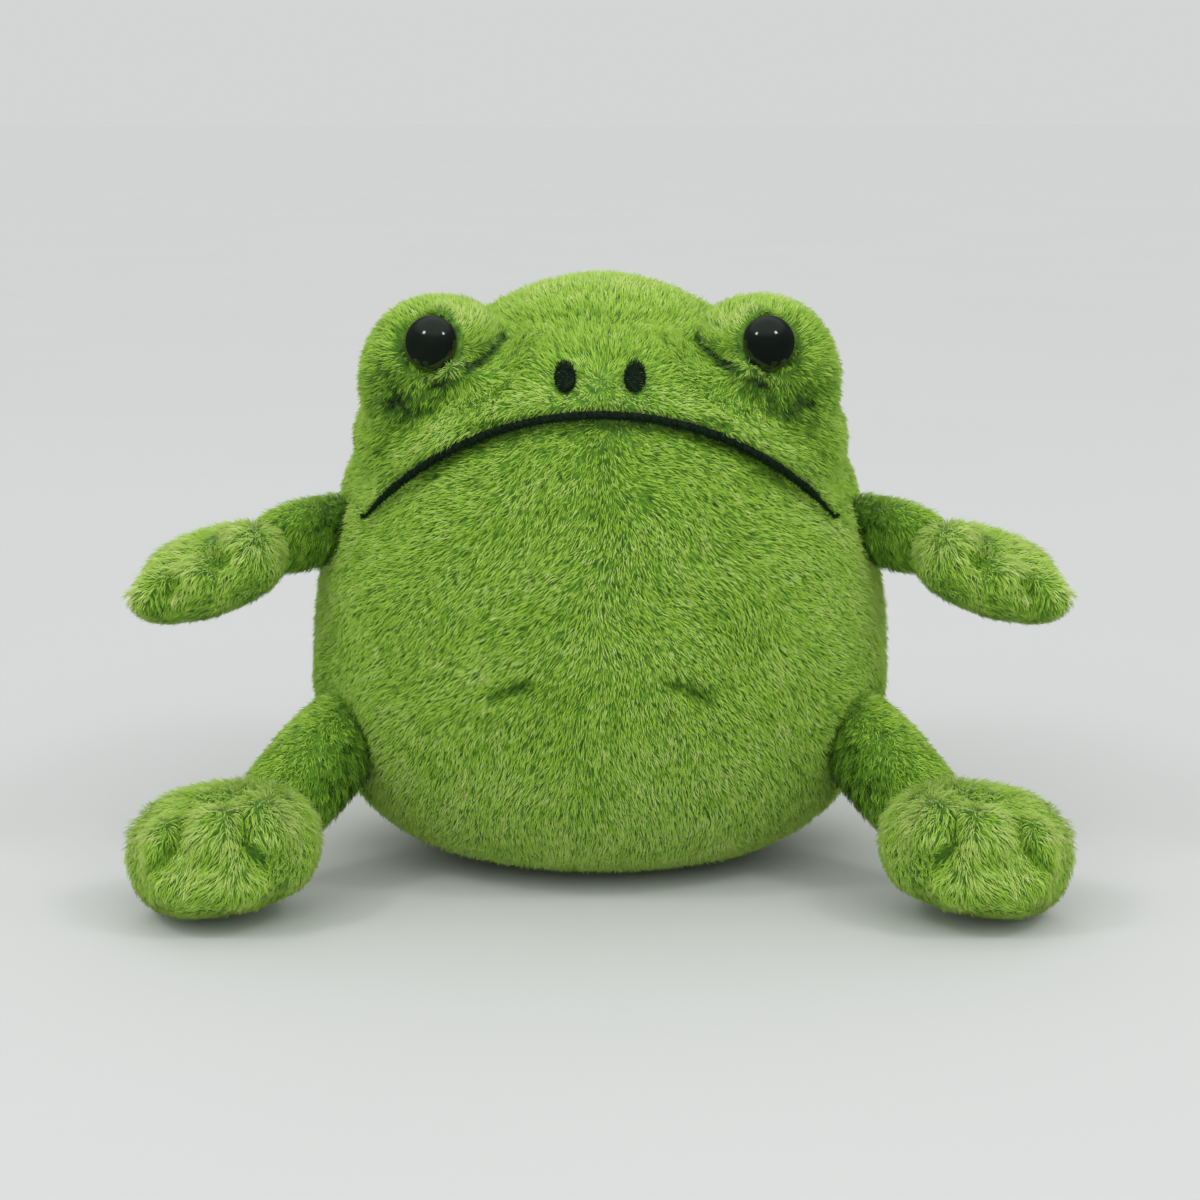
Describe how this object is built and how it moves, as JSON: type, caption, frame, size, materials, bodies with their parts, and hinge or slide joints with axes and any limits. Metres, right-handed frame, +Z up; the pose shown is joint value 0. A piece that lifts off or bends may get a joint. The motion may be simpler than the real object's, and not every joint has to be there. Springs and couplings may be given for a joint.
{
  "type": "plush frog",
  "caption": "Seated plush frog in green fur fabric with a wide arched mouth, glossy eyes in domed mounds, and short stuffed arms and legs that bend at their sewn roots.",
  "frame": {"origin": "middle of the flat seat, on the surface that the frog sits on", "axes": "+Z up, the face looks along -Y, and the frog's own left side is at +X"},
  "size_m": [0.3064, 0.2135, 0.201],
  "materials": {
    "fur": "matte",
    "filling": "matte",
    "pouch_cloth": "matte",
    "thread": "matte",
    "eye_plastic": "gloss",
    "washer_plastic": "satin"
  },
  "bodies": {
    "body": {"body_cover": "fur", "body_filling": "filling", "pellet_pouch": "pouch_cloth", "head_cover": "fur", "head_filling": "filling", "mouth_piping": "thread", "nostril_left": "thread", "nostril_right": "thread", "eye_mound_cover_left": "fur", "eye_mound_filling_left": "filling", "eye_left": "eye_plastic", "eye_washer_left": "washer_plastic", "eye_mound_cover_right": "fur", "eye_mound_filling_right": "filling", "eye_right": "eye_plastic", "eye_washer_right": "washer_plastic"},
    "arm_left": {"arm_cover_left": "fur", "arm_filling_left": "filling"},
    "hand_left": {"hand_cover_left": "fur", "hand_filling_left": "filling"},
    "leg_left": {"leg_cover_left": "fur", "leg_filling_left": "filling"},
    "foot_left": {"foot_cover_left": "fur", "foot_filling_left": "filling"},
    "arm_right": {"arm_cover_right": "fur", "arm_filling_right": "filling"},
    "hand_right": {"hand_cover_right": "fur", "hand_filling_right": "filling"},
    "leg_right": {"leg_cover_right": "fur", "leg_filling_right": "filling"},
    "foot_right": {"foot_cover_right": "fur", "foot_filling_right": "filling"}
  },
  "joints": [
    {"name": "shoulder_left", "type": "hinge", "parent": "body", "child": "arm_left", "pos_m": [0.08614, -0.01861, 0.11744], "axis": [0, 1, 0], "range_deg": [-25, 25], "stiffness_Nm_per_rad": 0.12},
    {"name": "wrist_left", "type": "hinge", "parent": "arm_left", "child": "hand_left", "pos_m": [0.11009, -0.0308, 0.11089], "axis": [0, 0, 1], "range_deg": [-20, 20], "stiffness_Nm_per_rad": 0.06},
    {"name": "hip_left", "type": "hinge", "parent": "body", "child": "leg_left", "pos_m": [0.08274, -0.03687, 0.05165], "axis": [0, 0, 1], "range_deg": [-10, 18], "stiffness_Nm_per_rad": 0.15},
    {"name": "ankle_left", "type": "hinge", "parent": "leg_left", "child": "foot_left", "pos_m": [0.10775, -0.06864, 0.02762], "axis": [-0.829, -0.5592, 0], "range_deg": [0, 15], "stiffness_Nm_per_rad": 0.08},
    {"name": "shoulder_right", "type": "hinge", "parent": "body", "child": "arm_right", "pos_m": [-0.08614, -0.01861, 0.11744], "axis": [0, -1, 0], "range_deg": [-25, 25], "stiffness_Nm_per_rad": 0.12},
    {"name": "wrist_right", "type": "hinge", "parent": "arm_right", "child": "hand_right", "pos_m": [-0.11009, -0.0308, 0.11089], "axis": [0, 0, -1], "range_deg": [-20, 20], "stiffness_Nm_per_rad": 0.06},
    {"name": "hip_right", "type": "hinge", "parent": "body", "child": "leg_right", "pos_m": [-0.08274, -0.03687, 0.05165], "axis": [0, 0, -1], "range_deg": [-10, 18], "stiffness_Nm_per_rad": 0.15},
    {"name": "ankle_right", "type": "hinge", "parent": "leg_right", "child": "foot_right", "pos_m": [-0.10775, -0.06864, 0.02762], "axis": [-0.829, 0.5592, 0], "range_deg": [0, 15], "stiffness_Nm_per_rad": 0.08}
  ]
}
